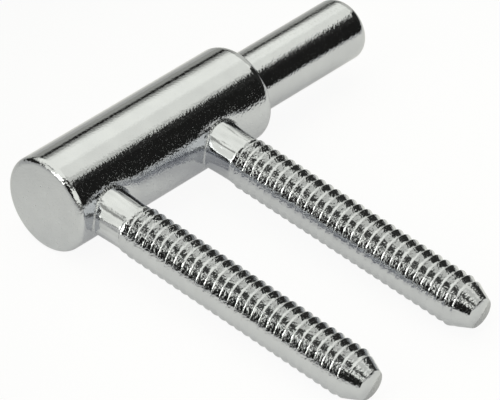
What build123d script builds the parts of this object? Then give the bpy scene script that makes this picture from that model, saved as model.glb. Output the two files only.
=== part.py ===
from build123d import *
import math
import os

# Driving sizes, in millimetres.
# Barrel: a solid round knuckle with a rounded foot rim and a rounder bearing shoulder.
barrel_diameter = 15.0
barrel_length = 40.6
foot_rounding = 1.0
shoulder_rounding = 1.9
shoulder_land = 0.4

# Hinge pin: plain and round, pressed into a blind bore by a slightly thicker seat.
pin_diameter = 9.7
pin_length = 23.5
pin_tip_rounding = 1.8
pin_seat_swell = 0.2
pin_seat_depth = 24.0
pin_seat_chamfer = 0.6
pin_bore_clearance = 1.0
drill_point_angle = 118.0

# Studs: two alike, square to the barrel, each welded into a shallow flat-bottomed socket.
stud_spacing = 22.9
lower_stud_from_foot = 6.2
stud_length = 50.0
socket_wall = 0.65
weld_fillet = 0.5
neck_length = 4.9
thread_diameter = 7.75
crest_rise = 0.275
runout_length = 1.6
tip_length = 3.4
tip_end_diameter = 4.8

# Radii and stations that follow from the sizes above.
barrel_radius = barrel_diameter / 2
pin_radius = pin_diameter / 2
pin_seat_radius = pin_radius + pin_seat_swell
pin_bore_depth = pin_seat_depth + pin_bore_clearance
drill_point_depth = pin_seat_radius / math.tan(math.radians(drill_point_angle / 2))
thread_radius = thread_diameter / 2
neck_radius = thread_radius - crest_rise
socket_floor = pin_seat_radius + socket_wall
neck_end = barrel_radius + neck_length
stud_end = barrel_radius + stud_length
crest_end = stud_end - tip_length
lower_stud_y = lower_stud_from_foot - barrel_length
upper_stud_y = lower_stud_y + stud_spacing

# The part lies on its barrel and on the last full crests of the threads, so the studs dip.
dip_angle = math.asin(barrel_radius / math.hypot(crest_end, thread_radius)) - math.atan2(
    thread_radius, crest_end
)

# The pin's axis runs along +Y from the bearing shoulder, which holds the origin.
pin_plane = Plane(origin=(0, 0, 0), x_dir=(1, 0, 0), z_dir=(0, 1, 0))


def stud_plane(stud_y):
    """A stud's own frame: it starts on the barrel's axis, and its Z runs out along the stud."""
    return Plane(
        origin=(0, stud_y, 0),
        x_dir=(0, 1, 0),
        z_dir=(math.cos(dip_angle), 0, -math.sin(dip_angle)),
    )


def turned(outline, roundings=()):
    """A solid turned about Z from (radius, height) points, with (radius, height, size) roundings."""
    with BuildPart() as solid:
        with BuildSketch(Plane.XZ) as section:
            with BuildLine():
                Polyline(outline, close=True)
            make_face()
            for radius, height, size in roundings:
                fillet(section.vertices().sort_by_distance((radius, height, 0))[0], size)
        revolve(axis=Axis.Z)
    return solid.part


def make_barrel():
    """The knuckle, bored for the pin, with a socket and a weld fillet for each stud."""
    shoulder_wall = barrel_radius - pin_seat_radius
    blank = turned(
        [
            (0, -barrel_length),
            (barrel_radius, -barrel_length),
            (barrel_radius, 0),
            (pin_seat_radius, 0),
            (pin_seat_radius, -pin_bore_depth),
            (0, -pin_bore_depth - drill_point_depth),
        ],
        [
            (barrel_radius, -barrel_length, foot_rounding),
            (barrel_radius, 0, min(shoulder_rounding, shoulder_wall - shoulder_land)),
        ],
    )
    stub_length = barrel_radius + neck_length / 2
    with BuildPart() as barrel:
        add(pin_plane * blank)
        stud_planes = [stud_plane(lower_stud_y), stud_plane(upper_stud_y)]
        for plane in stud_planes:
            with BuildSketch(plane.offset(socket_floor)):
                Circle(neck_radius)
            extrude(amount=stub_length - socket_floor)
        saddles = [
            edge
            for edge in barrel.edges()
            if edge.geom_type not in (GeomType.CIRCLE, GeomType.LINE)
        ]
        fillet(saddles, weld_fillet)
        for plane in stud_planes:
            with BuildSketch(plane.offset(socket_floor)):
                Circle(neck_radius)
            extrude(amount=stub_length - socket_floor, mode=Mode.SUBTRACT)
    return barrel.part


def make_hinge_pin():
    """The pin, with a rounded tip above the shoulder and its chamfered seat below it."""
    return pin_plane * turned(
        [
            (0, -pin_seat_depth),
            (pin_seat_radius - pin_seat_chamfer, -pin_seat_depth),
            (pin_seat_radius, pin_seat_chamfer - pin_seat_depth),
            (pin_seat_radius, 0),
            (pin_radius, 0),
            (pin_radius, pin_length),
            (0, pin_length),
        ],
        [(pin_radius, pin_length, pin_tip_rounding)],
    )


def make_stud(stud_y):
    """A stud to its thread's crests, with a plain neck, the thread's fade-in and a blunt tip."""
    return stud_plane(stud_y) * turned(
        [
            (0, socket_floor),
            (neck_radius, socket_floor),
            (neck_radius, neck_end),
            (thread_radius, neck_end + runout_length),
            (thread_radius, crest_end),
            (tip_end_diameter / 2, stud_end),
            (0, stud_end),
        ]
    )


os.makedirs("parts", exist_ok=True)
export_step(make_barrel(), "parts/barrel.step")
export_step(make_hinge_pin(), "parts/hinge_pin.step")
export_step(make_stud(lower_stud_y), "parts/lower_stud.step")
export_step(make_stud(upper_stud_y), "parts/upper_stud.step")
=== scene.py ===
import bpy
import bmesh
import math
from mathutils import Matrix, Vector


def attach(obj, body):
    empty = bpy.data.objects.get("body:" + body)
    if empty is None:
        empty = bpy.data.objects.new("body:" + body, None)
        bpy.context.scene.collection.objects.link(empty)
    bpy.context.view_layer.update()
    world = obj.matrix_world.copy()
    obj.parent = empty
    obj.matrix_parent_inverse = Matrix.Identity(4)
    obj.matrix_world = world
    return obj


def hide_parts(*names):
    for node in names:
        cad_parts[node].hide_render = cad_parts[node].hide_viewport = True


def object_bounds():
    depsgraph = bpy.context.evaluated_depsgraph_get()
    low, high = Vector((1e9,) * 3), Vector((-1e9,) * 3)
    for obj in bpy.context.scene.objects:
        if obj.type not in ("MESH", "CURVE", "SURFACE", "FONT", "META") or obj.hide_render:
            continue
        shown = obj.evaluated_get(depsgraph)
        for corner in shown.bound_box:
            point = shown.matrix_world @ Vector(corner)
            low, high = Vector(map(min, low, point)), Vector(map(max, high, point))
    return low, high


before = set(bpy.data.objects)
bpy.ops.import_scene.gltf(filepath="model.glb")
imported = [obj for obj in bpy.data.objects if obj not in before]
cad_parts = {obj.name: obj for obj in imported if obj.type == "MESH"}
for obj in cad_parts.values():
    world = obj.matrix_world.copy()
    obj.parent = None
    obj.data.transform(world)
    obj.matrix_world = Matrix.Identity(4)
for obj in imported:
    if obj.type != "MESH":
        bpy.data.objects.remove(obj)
cad_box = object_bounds()

# The light tent: a white cloth dome, brighter overhead than at its walls, with dark gaps between its panels.
# The bright metal shows the gaps as bands. The camera sees plain white there.
overhead_light = 1.27
wall_light = 0.60
overhead_edge = math.radians(31)
overhead_softness = math.radians(7)
background_white = 1.0
plain_white = (1.0, 1.0, 1.0, 1.0)
lamp_colour = (1.01, 1.015, 0.905, 1.0)
# Each panel, in degrees: compass direction of its middle at the horizon, half width, lower and upper edge.
# Then the lean of its middle per degree of height, the softness of its edges in degrees, and its brightness.
tent_panels = [
    ("top_cloth", 72, 34, 45, 70, 0.0, 5.0, 1.08),
    ("grey_cloth", 36, 30, 47, 70, 0.0, 2.0, 0.74),
    ("front_wall", -20, 38, 13, 45, 0.0, 0.8, 1.25),
    ("front_gap", -15, 62, -2, 11, 0.0, 0.8, 0.20),
    ("front_arch", -28, 34, 44, 68, 0.0, 1.0, 0.05),
    ("front_arch_foot", 18, 22, 46, 56, 0.0, 1.0, 0.12),
    ("back_wall", 122, 26, -2, 28, 0.0, 0.8, 0.40),
    ("back_cloth", 108, 15, 1, 40, 0.0, 3.0, 0.72),
    ("back_gap", 152, 22, 14, 22, 0.0, 0.8, 0.015),
    ("right_gap", 50, 24, -2, 46, 0.0, 0.8, 0.016),
    ("right_gap_foot", 89, 17, -2, 46, -0.62, 0.8, 0.03),
    ("left_gap", -156, 28, -2, 22, 0.0, 0.8, 0.02),
    ("window_gap", -81, 17, -2, 54, 0.4, 0.8, 0.012),
    ("front_lamp", -95, 3.6, 38, 58, 0.81, 1.5, 1.7),
    ("side_wall", -114, 14, -2, 50, 0.0, 0.8, 1.15),
    ("side_seam", -129, 17, 40, 55, 0.0, 3.5, 0.40),
    ("side_foot", -118, 14, -2, 4, 0.0, 0.8, 0.08),
    ("window", -109, 6.5, -2, 46, 0.475, 0.8, 4.5),
]


def math_node(tree, operation, first, second=None, third=None):
    """A Math node on plain numbers or on other nodes' outputs."""
    node = tree.nodes.new("ShaderNodeMath")
    node.operation = operation
    for index, value in enumerate((first, second, third)):
        if value is None:
            continue
        if isinstance(value, (int, float)):
            node.inputs[index].default_value = value
        else:
            tree.links.new(value, node.inputs[index])
    return node.outputs[0]


def soft_step(tree, value, edge, softness):
    """0 below the edge and 1 above it, with a smooth change as wide as the softness on each side."""
    node = tree.nodes.new("ShaderNodeMapRange")
    node.interpolation_type = "SMOOTHSTEP"
    tree.links.new(value, node.inputs["Value"])
    node.inputs["From Min"].default_value = edge - softness
    node.inputs["From Max"].default_value = edge + softness
    return node.outputs["Result"]


def soft_fall(tree, value, edge, softness):
    """1 below the edge and 0 above it, with the same smooth change."""
    return math_node(tree, "SUBTRACT", 1.0, soft_step(tree, value, edge, softness))


def between(tree, share, start, end):
    """The start value where the share is 0, and the end value where it is 1."""
    return math_node(tree, "MULTIPLY_ADD", share, end - start, start)


world = bpy.data.worlds.new("light_tent")
bpy.context.scene.world = world
world.use_nodes = True
tent = world.node_tree
tent.nodes.clear()
direction = tent.nodes.new("ShaderNodeTexCoord").outputs["Generated"]
split = tent.nodes.new("ShaderNodeSeparateXYZ")
tent.links.new(direction, split.inputs[0])
compass = math_node(tent, "ARCTAN2", split.outputs["Y"], split.outputs["X"])
elevation = math_node(tent, "ARCSINE", split.outputs["Z"])
overhead = soft_step(tent, elevation, overhead_edge, overhead_softness)
light = between(tent, overhead, wall_light, overhead_light)
for name, middle, half_width, low, high, lean, softness, brightness in tent_panels:
    edge = math.radians(softness)
    upright = math_node(tent, "MULTIPLY_ADD", elevation, -lean, compass)
    turned_away = math_node(tent, "SUBTRACT", upright, math.radians(middle))
    wrapped = math_node(tent, "WRAP", turned_away, math.pi, -math.pi)
    aside = math_node(tent, "ABSOLUTE", wrapped)
    within = soft_fall(tent, aside, math.radians(half_width), edge)
    above = soft_step(tent, elevation, math.radians(low), edge)
    below = soft_fall(tent, elevation, math.radians(high), edge)
    mask = math_node(tent, "MULTIPLY", within, math_node(tent, "MULTIPLY", above, below))
    blend = tent.nodes.new("ShaderNodeMix")
    blend.label = name
    tent.links.new(mask, blend.inputs["Factor"])
    tent.links.new(light, blend.inputs["A"])
    blend.inputs["B"].default_value = brightness
    light = blend.outputs["Result"]
ray = tent.nodes.new("ShaderNodeLightPath")
seen = tent.nodes.new("ShaderNodeMix")
tent.links.new(ray.outputs["Is Camera Ray"], seen.inputs["Factor"])
tent.links.new(light, seen.inputs["A"])
seen.inputs["B"].default_value = background_white
glow = tent.nodes.new("ShaderNodeBackground")
tent.links.new(seen.outputs["Result"], glow.inputs["Strength"])
lamp_tone = tent.nodes.new("ShaderNodeMix")
lamp_tone.data_type = "RGBA"
tent.links.new(ray.outputs["Is Camera Ray"], lamp_tone.inputs["Factor"])
lamp_tone.inputs["A"].default_value = lamp_colour
lamp_tone.inputs["B"].default_value = plain_white
tent.links.new(lamp_tone.outputs["Result"], glow.inputs["Color"])
world_end = tent.nodes.new("ShaderNodeOutputWorld")
tent.links.new(glow.outputs[0], world_end.inputs["Surface"])

# The floor: a pale matt board under the lying hinge, which takes its soft shadow.
# Its colour holds a painted pool of light, painted brightest under the hinge and painted darker further off,
# and the metal shows it as light grey.
floor_level = cad_box[0].z
floor_size = 6.0
floor_painted_light_colour = (0.99, 0.985, 0.945, 1.0)
floor_painted_shade_colour = (0.38, 0.38, 0.365, 1.0)
floor_painted_light_centre = (0.05, 0.0, 0.0)
floor_painted_light_radius = 0.05
floor_painted_shade_radius = 0.13
floor_seen_white = 0.92
floor_mirrored_white = 0.28

bpy.ops.object.select_all(action="DESELECT")
bpy.ops.mesh.primitive_plane_add(size=floor_size, location=(0, 0, floor_level))
floor = bpy.context.object
floor.name = "floor"
floor_paint = bpy.data.materials.new("pale_floor")
floor_paint.use_nodes = True
tree = floor_paint.node_tree
tree.nodes.clear()
matt = tree.nodes.new("ShaderNodeBsdfDiffuse")
reach = tree.nodes.new("ShaderNodeVectorMath")
reach.operation = "DISTANCE"
reach.inputs[1].default_value = floor_painted_light_centre
tree.links.new(tree.nodes.new("ShaderNodeTexCoord").outputs["Object"], reach.inputs[0])
far = tree.nodes.new("ShaderNodeMapRange")
far.interpolation_type = "SMOOTHSTEP"
tree.links.new(reach.outputs["Value"], far.inputs["Value"])
far.inputs["From Min"].default_value = floor_painted_light_radius
far.inputs["From Max"].default_value = floor_painted_shade_radius
# The painted pool of light: the floor's colour is painted lighter near the hinge and painted darker further
# off.
paint = tree.nodes.new("ShaderNodeMix")
paint.data_type = "RGBA"
tree.links.new(far.outputs["Result"], paint.inputs["Factor"])
paint.inputs["A"].default_value = floor_painted_light_colour
paint.inputs["B"].default_value = floor_painted_shade_colour
tree.links.new(paint.outputs["Result"], matt.inputs["Color"])
white = tree.nodes.new("ShaderNodeEmission")
white.inputs["Strength"].default_value = background_white
ray = tree.nodes.new("ShaderNodeLightPath")
mirrored = math_node(tree, "MAXIMUM", ray.outputs["Is Glossy Ray"], ray.outputs["Is Transmission Ray"])
mirrored = math_node(tree, "MULTIPLY", mirrored, floor_mirrored_white)
seen = math_node(tree, "MULTIPLY", ray.outputs["Is Camera Ray"], floor_seen_white)
share = math_node(tree, "MAXIMUM", mirrored, seen)
mix = tree.nodes.new("ShaderNodeMixShader")
tree.links.new(share, mix.inputs["Fac"])
tree.links.new(matt.outputs[0], mix.inputs[1])
tree.links.new(white.outputs[0], mix.inputs[2])
floor_end = tree.nodes.new("ShaderNodeOutputMaterial")
tree.links.new(mix.outputs[0], floor_end.inputs["Surface"])
floor.data.materials.append(floor_paint)

# The camera: a long lens, high over the foot of the barrel and the tips of the studs.
# Its place, aim and roll come from the outlines of the barrel, the pin and the studs.
camera_place = Vector((0.428662, -0.471746, 0.454414))
camera_target = Vector((0.019748, -0.018689, 0.0))
camera_roll = math.radians(1.747)
camera_lens = 382.5
camera_sensor_width = 36.0
camera_reach = 20.0
camera_data = bpy.data.cameras.new("camera")
camera_data.lens = camera_lens
camera_data.sensor_width = camera_sensor_width
camera_data.clip_end = camera_reach
camera = bpy.data.objects.new("camera", camera_data)
bpy.context.scene.collection.objects.link(camera)
aim = (camera_target - camera_place).to_track_quat("-Z", "Y").to_matrix().to_4x4()
camera.matrix_world = Matrix.Translation(camera_place) @ aim @ Matrix.Rotation(camera_roll, 4, "Z")
bpy.context.scene.camera = camera

# The barrel: a round steel knuckle, cold formed and turned, with a flat foot and a rounded shoulder.
# The pin is pressed into its blind bore, and the studs are welded into two sockets in its side.
# Like every piece it is bright zinc plated, nearly a mirror, with a fine orange peel that frays reflections.
mm = 0.001
barrel_radius = 7.5 * mm
barrel_length = 40.6 * mm
foot_rounding = 1.0 * mm
foot_rounding_steps = 14
shoulder_rounding = 1.9 * mm
shoulder_rounding_steps = 22
bore_radius = 5.05 * mm
bore_depth = 25.0 * mm
drill_point_depth = 3.03 * mm
round_segments = 192
round_sharp_angle = math.radians(40)
edge_tolerance = 0.001 * mm
straight_up = 0.99

# The studs stand in the barrel's side. The part lies on the barrel and on the last full crests of their
# threads, so they dip.
lower_stud_from_foot = 6.2 * mm
stud_spacing = 22.9 * mm
lower_stud_y = lower_stud_from_foot - barrel_length
stud_stations = {"lower_stud": lower_stud_y, "upper_stud": lower_stud_y + stud_spacing}
thread_radius = 3.875 * mm
cone_start = 54.1 * mm
resting_slope = math.asin(barrel_radius / math.hypot(cone_start, thread_radius))
dip = resting_slope - math.atan2(thread_radius, cone_start)
stud_direction = (math.cos(dip), 0.0, -math.sin(dip))

# Round each neck the wall of the barrel is pulled in to a shallow dish by the weld.
dish_depth = 0.36 * mm
dish_inner = 2.4 * mm
dish_outer = 6.0 * mm
stud_side_start = 2.0 * mm
stud_side_softness = 1.5 * mm

# The plating is smoother on top, and rougher and more speckled on the lower side and at the rim of the foot.
smooth_side_depth = 0.013 * mm
rough_side_depth = 0.036 * mm
rough_side_top = 4.2 * mm
rough_side_softness = 1.4 * mm
foot_side_softness = 0.6 * mm
clean_side_speck = 0.15
speckled_side_speck = 0.25
speckled_side_top = 5.2 * mm
speckled_side_softness = 1.2 * mm

# The grain of the plating itself. A peel, finer pits, a cloudy tint and dull specks change over every piece.
peel_detail = 0.8
peel_roughness = 0.55
pits_per_grain = 3.1
cloud_scale = 320.0
cloud_detail = 3.0
cloud_dullness = 0.05
darker_zinc = (0.557, 0.569, 0.607, 1)
darker_zinc_until = 0.3
lighter_zinc = (0.595, 0.609, 0.647, 1)
lighter_zinc_from = 0.7
grit_scale = 4300.0
grit_detail = 1.0
speck_edge = 0.62
speck_softness = 0.09

plating_skin = bpy.data.node_groups.new("plating_skin", "ShaderNodeTree")
for socket in ("Grain", "Depth", "Fine Depth", "Base Roughness", "Speck Roughness", "Relief"):
    plating_skin.interface.new_socket(socket, in_out="INPUT", socket_type="NodeSocketFloat")
plating_skin.interface.new_socket("Colour", in_out="OUTPUT", socket_type="NodeSocketColor")
plating_skin.interface.new_socket("Roughness", in_out="OUTPUT", socket_type="NodeSocketFloat")
plating_skin.interface.new_socket("Normal", in_out="OUTPUT", socket_type="NodeSocketVector")
tree = plating_skin
given = tree.nodes.new("NodeGroupInput")
result = tree.nodes.new("NodeGroupOutput")
place = tree.nodes.new("ShaderNodeTexCoord").outputs["Object"]
peel = tree.nodes.new("ShaderNodeTexNoise")
tree.links.new(place, peel.inputs["Vector"])
tree.links.new(math_node(tree, "DIVIDE", 1.0, given.outputs["Grain"]), peel.inputs["Scale"])
peel.inputs["Detail"].default_value = peel_detail
peel.inputs["Roughness"].default_value = peel_roughness
pits = tree.nodes.new("ShaderNodeTexNoise")
tree.links.new(place, pits.inputs["Vector"])
tree.links.new(math_node(tree, "DIVIDE", pits_per_grain, given.outputs["Grain"]), pits.inputs["Scale"])
pits.inputs["Detail"].default_value = 0.0
relief = tree.nodes.new("ShaderNodeBump")
relief.inputs["Strength"].default_value = 1.0
relief.inputs["Distance"].default_value = 1.0
tree.links.new(given.outputs["Relief"], relief.inputs["Height"])
coarse = tree.nodes.new("ShaderNodeBump")
coarse.inputs["Strength"].default_value = 1.0
tree.links.new(given.outputs["Depth"], coarse.inputs["Distance"])
tree.links.new(peel.outputs["Fac"], coarse.inputs["Height"])
tree.links.new(relief.outputs["Normal"], coarse.inputs["Normal"])
fine = tree.nodes.new("ShaderNodeBump")
fine.inputs["Strength"].default_value = 1.0
tree.links.new(given.outputs["Fine Depth"], fine.inputs["Distance"])
tree.links.new(pits.outputs["Fac"], fine.inputs["Height"])
tree.links.new(coarse.outputs["Normal"], fine.inputs["Normal"])
tree.links.new(fine.outputs["Normal"], result.inputs["Normal"])
cloud = tree.nodes.new("ShaderNodeTexNoise")
tree.links.new(place, cloud.inputs["Vector"])
cloud.inputs["Scale"].default_value = cloud_scale
cloud.inputs["Detail"].default_value = cloud_detail
tint = tree.nodes.new("ShaderNodeValToRGB")
tint.color_ramp.elements[0].position = darker_zinc_until
tint.color_ramp.elements[0].color = darker_zinc
tint.color_ramp.elements[1].position = lighter_zinc_from
tint.color_ramp.elements[1].color = lighter_zinc
tree.links.new(cloud.outputs["Fac"], tint.inputs["Fac"])
tree.links.new(tint.outputs["Color"], result.inputs["Colour"])
grit = tree.nodes.new("ShaderNodeTexNoise")
tree.links.new(place, grit.inputs["Vector"])
grit.inputs["Scale"].default_value = grit_scale
grit.inputs["Detail"].default_value = grit_detail
specks = soft_step(tree, grit.outputs["Fac"], speck_edge, speck_softness)
dull = math_node(tree, "MULTIPLY_ADD", cloud.outputs["Fac"], cloud_dullness, given.outputs["Base Roughness"])
dull = math_node(tree, "MULTIPLY_ADD", specks, given.outputs["Speck Roughness"], dull)
tree.links.new(dull, result.inputs["Roughness"])


def zinc_plating(name, grain, depth, fine_depth, roughness, speck_roughness):
    """Bright zinc with the shared skin, at one piece's own grain, depths and dullness."""
    material = bpy.data.materials.new(name)
    material.use_nodes = True
    shader = material.node_tree.nodes["Principled BSDF"]
    shader.inputs["Metallic"].default_value = 1.0
    skin = material.node_tree.nodes.new("ShaderNodeGroup")
    skin.node_tree = plating_skin
    skin.inputs["Grain"].default_value = grain
    skin.inputs["Depth"].default_value = depth
    skin.inputs["Fine Depth"].default_value = fine_depth
    skin.inputs["Base Roughness"].default_value = roughness
    skin.inputs["Speck Roughness"].default_value = speck_roughness
    material.node_tree.links.new(skin.outputs["Colour"], shader.inputs["Base Color"])
    material.node_tree.links.new(skin.outputs["Roughness"], shader.inputs["Roughness"])
    material.node_tree.links.new(skin.outputs["Normal"], shader.inputs["Normal"])
    return material


def all_deselected():
    """Leaves edit mode, with nothing selected."""
    if bpy.context.object and bpy.context.object.mode != "OBJECT":
        bpy.ops.object.mode_set(mode="OBJECT")
    bpy.ops.object.select_all(action="DESELECT")


def take_alone(piece):
    """Selects the piece alone and makes it the active one."""
    all_deselected()
    piece.select_set(True)
    bpy.context.view_layer.objects.active = piece


def round_blank(name, radius, length):
    """A plain bar, from the shoulder's plane down towards the foot, left in edit mode."""
    all_deselected()
    bpy.ops.mesh.primitive_cylinder_add(
        vertices=round_segments, radius=radius, depth=length,
        location=(0, -length / 2, 0), rotation=(-math.pi / 2, 0, 0),
    )
    piece = bpy.context.object
    piece.name = name
    bpy.ops.object.transform_apply()
    bpy.ops.object.mode_set(mode="EDIT")
    return piece


def pick_top_face(piece):
    """In edit mode, selects the flat face that looks along the pin's axis."""
    mesh = bmesh.from_edit_mesh(piece.data)
    bpy.ops.mesh.select_all(action="DESELECT")
    for face in mesh.faces:
        if face.normal.y > straight_up:
            face.select_set(True)
    bmesh.update_edit_mesh(piece.data)


def on_circle(vertex, radius, station):
    """True for a vertex on the circle of that radius, at that station on the pin's axis."""
    outwards = abs(math.hypot(vertex.co.x, vertex.co.z) - radius)
    along_axis = abs(vertex.co.y - station)
    return outwards < edge_tolerance and along_axis < edge_tolerance


def round_off(piece, radius, station, size, steps):
    """In edit mode, rounds off the circular edge at that radius and station. One step gives a chamfer."""
    mesh = bmesh.from_edit_mesh(piece.data)
    bpy.ops.mesh.select_all(action="DESELECT")
    for edge in mesh.edges:
        if all(on_circle(vertex, radius, station) for vertex in edge.verts):
            edge.select_set(True)
    bmesh.update_edit_mesh(piece.data)
    bpy.ops.mesh.bevel(offset=size, offset_type="OFFSET", segments=steps, affect="EDGES")


def smooth_and_even(piece, sharp_angle):
    """Smooth shading that stays sharp past the given angle, with flat faces kept flat."""
    take_alone(piece)
    bpy.ops.object.shade_smooth_by_angle(angle=sharp_angle)
    weighted = piece.modifiers.new("even_normals", "WEIGHTED_NORMAL")
    weighted.keep_sharp = True
    bpy.ops.object.modifier_apply(modifier=weighted.name)


barrel = round_blank("barrel_body", barrel_radius, barrel_length)
pick_top_face(barrel)
bpy.ops.mesh.inset(thickness=barrel_radius - bore_radius)
bpy.ops.mesh.extrude_region_move(TRANSFORM_OT_translate={"value": (0, -bore_depth, 0)})
bpy.ops.mesh.extrude_region_move(TRANSFORM_OT_translate={"value": (0, -drill_point_depth, 0)})
bpy.ops.mesh.merge(type="CENTER")
round_off(barrel, barrel_radius, -barrel_length, foot_rounding, foot_rounding_steps)
round_off(barrel, barrel_radius, 0.0, shoulder_rounding, shoulder_rounding_steps)
bpy.ops.mesh.select_all(action="SELECT")
bpy.ops.mesh.normals_make_consistent(inside=False)
bpy.ops.object.mode_set(mode="OBJECT")
smooth_and_even(barrel, round_sharp_angle)
barrel_zinc = zinc_plating(
    "barrel_zinc", grain=0.36 * mm, depth=smooth_side_depth, fine_depth=0.003 * mm,
    roughness=0.01, speck_roughness=clean_side_speck,
)
tree = barrel_zinc.node_tree
skin = tree.nodes["Group"]
place = tree.nodes.new("ShaderNodeTexCoord").outputs["Object"]
sides = tree.nodes.new("ShaderNodeSeparateXYZ")
tree.links.new(place, sides.inputs[0])
stud_side = soft_step(tree, sides.outputs["X"], stud_side_start, stud_side_softness)
dish_middle = (dish_inner + dish_outer) / 2
dish_softness = (dish_outer - dish_inner) / 2
dishes = 0.0
for station in stud_stations.values():
    offset = tree.nodes.new("ShaderNodeVectorMath")
    offset.operation = "SUBTRACT"
    tree.links.new(place, offset.inputs[0])
    offset.inputs[1].default_value = (0.0, station, 0.0)
    across = tree.nodes.new("ShaderNodeVectorMath")
    across.operation = "CROSS_PRODUCT"
    tree.links.new(offset.outputs["Vector"], across.inputs[0])
    across.inputs[1].default_value = stud_direction
    distance = tree.nodes.new("ShaderNodeVectorMath")
    distance.operation = "LENGTH"
    tree.links.new(across.outputs["Vector"], distance.inputs[0])
    rise = soft_step(tree, distance.outputs["Value"], dish_middle, dish_softness)
    sunk = math_node(tree, "MULTIPLY", math_node(tree, "SUBTRACT", rise, 1.0), stud_side)
    dishes = math_node(tree, "MULTIPLY_ADD", sunk, dish_depth, dishes)
tree.links.new(dishes, skin.inputs["Relief"])
lower_side = soft_fall(tree, sides.outputs["Z"], rough_side_top, rough_side_softness)
foot_side = soft_fall(tree, sides.outputs["Y"], foot_rounding - barrel_length, foot_side_softness)
rough_side = math_node(tree, "MAXIMUM", lower_side, foot_side)
tree.links.new(between(tree, rough_side, smooth_side_depth, rough_side_depth), skin.inputs["Depth"])
speckled_side = soft_fall(tree, sides.outputs["Z"], speckled_side_top, speckled_side_softness)
speck = between(tree, speckled_side, clean_side_speck, speckled_side_speck)
tree.links.new(speck, skin.inputs["Speck Roughness"])
barrel.data.materials.clear()
barrel.data.materials.append(barrel_zinc)
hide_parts("barrel")
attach(barrel, "root")

# The hinge pin: plain round steel, turned, with a well rounded tip above the shoulder.
# Its slightly thicker seat has a chamfer at its end and is pressed into the barrel's bore.
pin_radius = 4.85 * mm
pin_seat_radius = 5.05 * mm
pin_length = 23.5 * mm
pin_seat_depth = 24.0 * mm
pin_tip_rounding = 1.8 * mm
pin_tip_rounding_steps = 22
pin_seat_chamfer = 0.6 * mm

pin = round_blank("pin_body", pin_seat_radius, pin_seat_depth)
pick_top_face(pin)
bpy.ops.mesh.inset(thickness=pin_seat_radius - pin_radius)
bpy.ops.mesh.extrude_region_move(TRANSFORM_OT_translate={"value": (0, pin_length, 0)})
round_off(pin, pin_radius, pin_length, pin_tip_rounding, pin_tip_rounding_steps)
round_off(pin, pin_seat_radius, -pin_seat_depth, pin_seat_chamfer, 1)
bpy.ops.object.mode_set(mode="OBJECT")
smooth_and_even(pin, round_sharp_angle)
pin_zinc = zinc_plating(
    "pin_zinc", grain=0.34 * mm, depth=0.022 * mm, fine_depth=0.004 * mm,
    roughness=0.01, speck_roughness=0.18,
)
pin.data.materials.clear()
pin.data.materials.append(pin_zinc)
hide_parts("hinge_pin")
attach(pin, "root")

# The studs: steel rod with a rolled thread that fades out at the plain neck and runs down a cone at the tip.
# Both are alike. The plating follows the rolling, and it is rougher on the thread than on the neck and cone.
thread_pitch = 1.5 * mm
long_flank_slope = math.radians(28)
steep_flank_run = 0.25 * mm
crest_softness = 0.20 * mm
root_softness = 0.15 * mm
neck_radius = 3.6 * mm
neck_flare = 0.14 * mm
neck_flare_power = 1.6
seat_end = 5.7 * mm
neck_end = 11.8 * mm
full_thread = 13.2 * mm
stud_end = 57.5 * mm
tip_radius = 2.4 * mm
tip_softening = 0.12 * mm
thread_phases = {"lower_stud": math.radians(78), "upper_stud": math.radians(-148)}
profile_steps = 34
thread_segments = 60
turns_below_seat = 2
turns_past_tip = 1
merge_distance = 0.002 * mm
cut_tolerance = 0.0001 * mm
stud_sharp_angle = math.radians(75)


def soft_lower(first, second, softness):
    """The lower of two heights, with the corner between them rounded off."""
    gap = max(softness - abs(first - second), 0.0) / softness
    return min(first, second) - gap * gap * softness / 4


def crest_outline():
    """One pitch of the thread: a steep flank facing the barrel, a rounded crest, and a long flank."""
    points = []
    long_flank_run = thread_pitch - steep_flank_run
    peak = long_flank_run * math.tan(long_flank_slope)
    root_radius = thread_radius + crest_softness / 4 - peak
    for step in range(profile_steps + 1):
        station = thread_pitch * step / profile_steps
        rise = peak * station / steep_flank_run
        fall = peak * (thread_pitch - station) / long_flank_run
        height = soft_lower(rise, fall, crest_softness)
        height = -soft_lower(-height, -root_softness / 2, root_softness)
        points.append((root_radius + height, 0.0, station))
    return points


def stud_radius(rolled, station):
    """The stud's radius at a station, where the thread alone would give the radius rolled."""
    grown = min(max((station - neck_end) / (full_thread - neck_end), 0.0), 1.0)
    grown = grown * grown * (3 - 2 * grown)
    flare = min(max((neck_end - station) / (neck_end - barrel_radius), 0.0), 1.0)
    neck = neck_radius + neck_flare * flare**neck_flare_power
    radius = neck + (rolled - neck) * grown
    cone_slope = (thread_radius - tip_radius) / (stud_end - cone_start)
    cone = thread_radius - (station - cone_start) * cone_slope
    return soft_lower(cone, radius, tip_softening)


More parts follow.
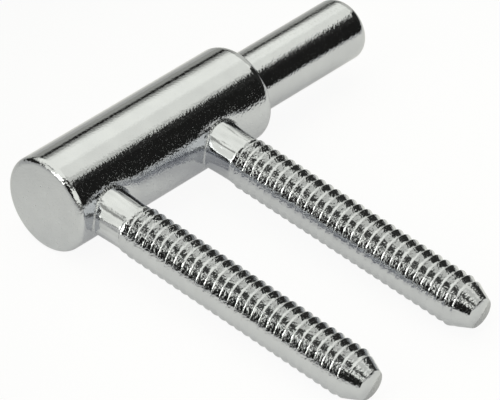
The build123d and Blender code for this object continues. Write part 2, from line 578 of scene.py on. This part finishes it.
def rolled_stud(name, phase):
    """The thread's outline screwed along Z, fitted to the neck and the cone, and cut off at both ends."""
    mesh = bpy.data.meshes.new(name)
    mesh.from_pydata(crest_outline(), [(i, i + 1) for i in range(profile_steps)], [])
    piece = bpy.data.objects.new(name, mesh)
    bpy.context.scene.collection.objects.link(piece)
    take_alone(piece)
    helix = piece.modifiers.new("helix", "SCREW")
    helix.axis = "Z"
    helix.angle = 2 * math.pi
    helix.screw_offset = thread_pitch
    helix.iterations = turns_below_seat + math.ceil((stud_end - seat_end) / thread_pitch) + turns_past_tip
    helix.steps = thread_segments
    helix.render_steps = thread_segments
    helix.use_merge_vertices = False
    helix.use_smooth_shade = True
    bpy.ops.object.modifier_apply(modifier=helix.name)
    start = seat_end - turns_below_seat * thread_pitch
    for vertex in piece.data.vertices:
        x, y, z = vertex.co
        station = start + z
        around = math.atan2(y, x) + phase
        radius = stud_radius(math.hypot(x, y), station)
        vertex.co = (radius * math.cos(around), radius * math.sin(around), station)
    bpy.ops.object.mode_set(mode="EDIT")
    bpy.ops.mesh.select_all(action="SELECT")
    bpy.ops.mesh.remove_doubles(threshold=merge_distance)
    for cut, beyond in ((seat_end, False), (stud_end, True)):
        bpy.ops.mesh.select_all(action="SELECT")
        bpy.ops.mesh.bisect(
            plane_co=(0, 0, cut), plane_no=(0, 0, 1), use_fill=True,
            clear_inner=not beyond, clear_outer=beyond, threshold=cut_tolerance,
        )
    bpy.ops.mesh.select_all(action="SELECT")
    bpy.ops.mesh.normals_make_consistent(inside=False)
    bpy.ops.object.mode_set(mode="OBJECT")
    return piece


# The stud's plating: smooth on the neck, with long streaks that are partly real relief and partly painted
# reflection in its colour, roughest on the first turns, calmer on the cone.
thread_start = neck_end + 0.5 * mm
thread_start_softness = 0.4 * mm
calm_cone_start = cone_start + 1.4 * mm
calm_cone_softness = 0.4 * mm
cone_smoothness = 0.55
first_turns_end = 20 * mm
first_turns_softness = 8 * mm
first_turns_extra_depth = 0.022 * mm
neck_peel_depth = 0.012 * mm
thread_peel_depth = 0.047 * mm
neck_pit_depth = 0.002 * mm
thread_pit_depth = 0.003 * mm
streak_stretch = (0.22, 1.0, 1.0)
streak_scale = 900.0
streak_detail = 1.0
streak_middle = 0.5
neck_wave_depth = 0.18 * mm
neck_painted_streak_strength = 0.40

stud_zinc = zinc_plating(
    "stud_zinc", grain=0.38 * mm, depth=thread_peel_depth, fine_depth=thread_pit_depth,
    roughness=0.075, speck_roughness=0.12,
)
tree = stud_zinc.node_tree
skin = tree.nodes["Group"]
place = tree.nodes.new("ShaderNodeTexCoord").outputs["Object"]
along = tree.nodes.new("ShaderNodeVectorMath")
along.operation = "DOT_PRODUCT"
tree.links.new(place, along.inputs[0])
along.inputs[1].default_value = stud_direction
station = along.outputs["Value"]
past_neck = soft_step(tree, station, thread_start, thread_start_softness)
on_cone = soft_step(tree, station, calm_cone_start, calm_cone_softness)
rolled_part = math_node(tree, "MULTIPLY_ADD", on_cone, -cone_smoothness, past_neck)
first_turns = soft_fall(tree, station, first_turns_end, first_turns_softness)
first_turns = math_node(tree, "MULTIPLY", past_neck, first_turns)
depth = between(tree, rolled_part, neck_peel_depth, thread_peel_depth)
depth = math_node(tree, "MULTIPLY_ADD", first_turns, first_turns_extra_depth, depth)
tree.links.new(depth, skin.inputs["Depth"])
fine_depth = between(tree, rolled_part, neck_pit_depth, thread_pit_depth)
tree.links.new(fine_depth, skin.inputs["Fine Depth"])
stretch = tree.nodes.new("ShaderNodeMapping")
stretch.inputs["Scale"].default_value = streak_stretch
tree.links.new(place, stretch.inputs["Vector"])
waves = tree.nodes.new("ShaderNodeTexNoise")
tree.links.new(stretch.outputs["Vector"], waves.inputs["Vector"])
waves.inputs["Scale"].default_value = streak_scale
waves.inputs["Detail"].default_value = streak_detail
plain_part = math_node(tree, "SUBTRACT", 1.0, past_neck)
neck_waves = math_node(tree, "MULTIPLY", waves.outputs["Fac"], plain_part)
neck_waves = math_node(tree, "MULTIPLY", neck_waves, neck_wave_depth)
tree.links.new(neck_waves, skin.inputs["Relief"])
# Painted reflection streaks: the neck's colour is painted lighter and darker along the same waves that give
# its real relief.
streak = math_node(tree, "SUBTRACT", waves.outputs["Fac"], streak_middle)
streak = math_node(tree, "MULTIPLY", streak, plain_part)
shade = math_node(tree, "MULTIPLY_ADD", streak, neck_painted_streak_strength, 1.0)
streaked = tree.nodes.new("ShaderNodeVectorMath")
streaked.operation = "SCALE"
tree.links.new(skin.outputs["Colour"], streaked.inputs[0])
tree.links.new(shade, streaked.inputs["Scale"])
tree.links.new(streaked.outputs["Vector"], tree.nodes["Principled BSDF"].inputs["Base Color"])

# A stud and its weld ring are modelled along Z, and this lays them along X, out from the barrel's axis.
lay_along_x = Matrix(
    (
        (0.0, 0.0, 1.0),
        (1.0, 0.0, 0.0),
        (0.0, 1.0, 0.0),
    )
).to_4x4()


def put_in_place(piece, station):
    """Lays a piece out from the barrel at that station, with the studs' dip, and takes it alone."""
    piece.data.transform(Matrix.Translation((0, station, 0)) @ Matrix.Rotation(dip, 4, "Y") @ lay_along_x)
    take_alone(piece)


for node, station in stud_stations.items():
    stud = rolled_stud(node + "_rod", thread_phases[node])
    put_in_place(stud, station)
    bpy.ops.object.shade_smooth_by_angle(angle=stud_sharp_angle)
    stud.data.materials.append(stud_zinc)
    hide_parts(node)
    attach(stud, "root")

# The weld rings: each stud is welded to the barrel round its neck, and the plating covers the weld too.
# The ring's face is hollow, as a fillet's is, and it rises and falls with the round wall that it lies on.
weld_width = 0.5 * mm
weld_depth = 0.25 * mm
weld_segments = 160
weld_section_steps = 20
weld_sharp_angle = math.radians(50)


def weld_ring(name):
    """A torus pressed into a hollow fillet between the stud's neck and the barrel's wall, still along Z."""
    all_deselected()
    bpy.ops.mesh.primitive_torus_add(
        major_segments=weld_segments, minor_segments=weld_section_steps,
        major_radius=neck_radius + weld_width / 2, minor_radius=weld_width / 2,
    )
    ring = bpy.context.object
    ring.name = name
    for vertex in ring.data.vertices:
        x, y, z = vertex.co
        share = (math.hypot(x, y) - neck_radius) / weld_width
        share = min(max(share, 0.0), 1.0)
        lift = -weld_depth
        if z > 0:
            lift = weld_width * (1 - math.sqrt(1 - (1 - share) ** 2))
        around = math.atan2(y, x)
        radius = neck_radius + share * weld_width
        side = radius * math.sin(around)
        wall = math.sqrt(barrel_radius**2 - side**2)
        vertex.co = (radius * math.cos(around), side, wall + lift)
    return ring


for node, station in stud_stations.items():
    ring = weld_ring(node.replace("stud", "weld"))
    put_in_place(ring, station)
    bpy.ops.object.shade_smooth_by_angle(angle=weld_sharp_angle)
    weld_zinc = zinc_plating(
        ring.name + "_zinc", grain=0.34 * mm, depth=0.095 * mm, fine_depth=0.012 * mm,
        roughness=0.20, speck_roughness=0.25,
    )
    ring.data.materials.append(weld_zinc)
    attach(ring, "root")

bpy.context.scene.view_settings.view_transform = "Standard"
bpy.context.view_layer.update()
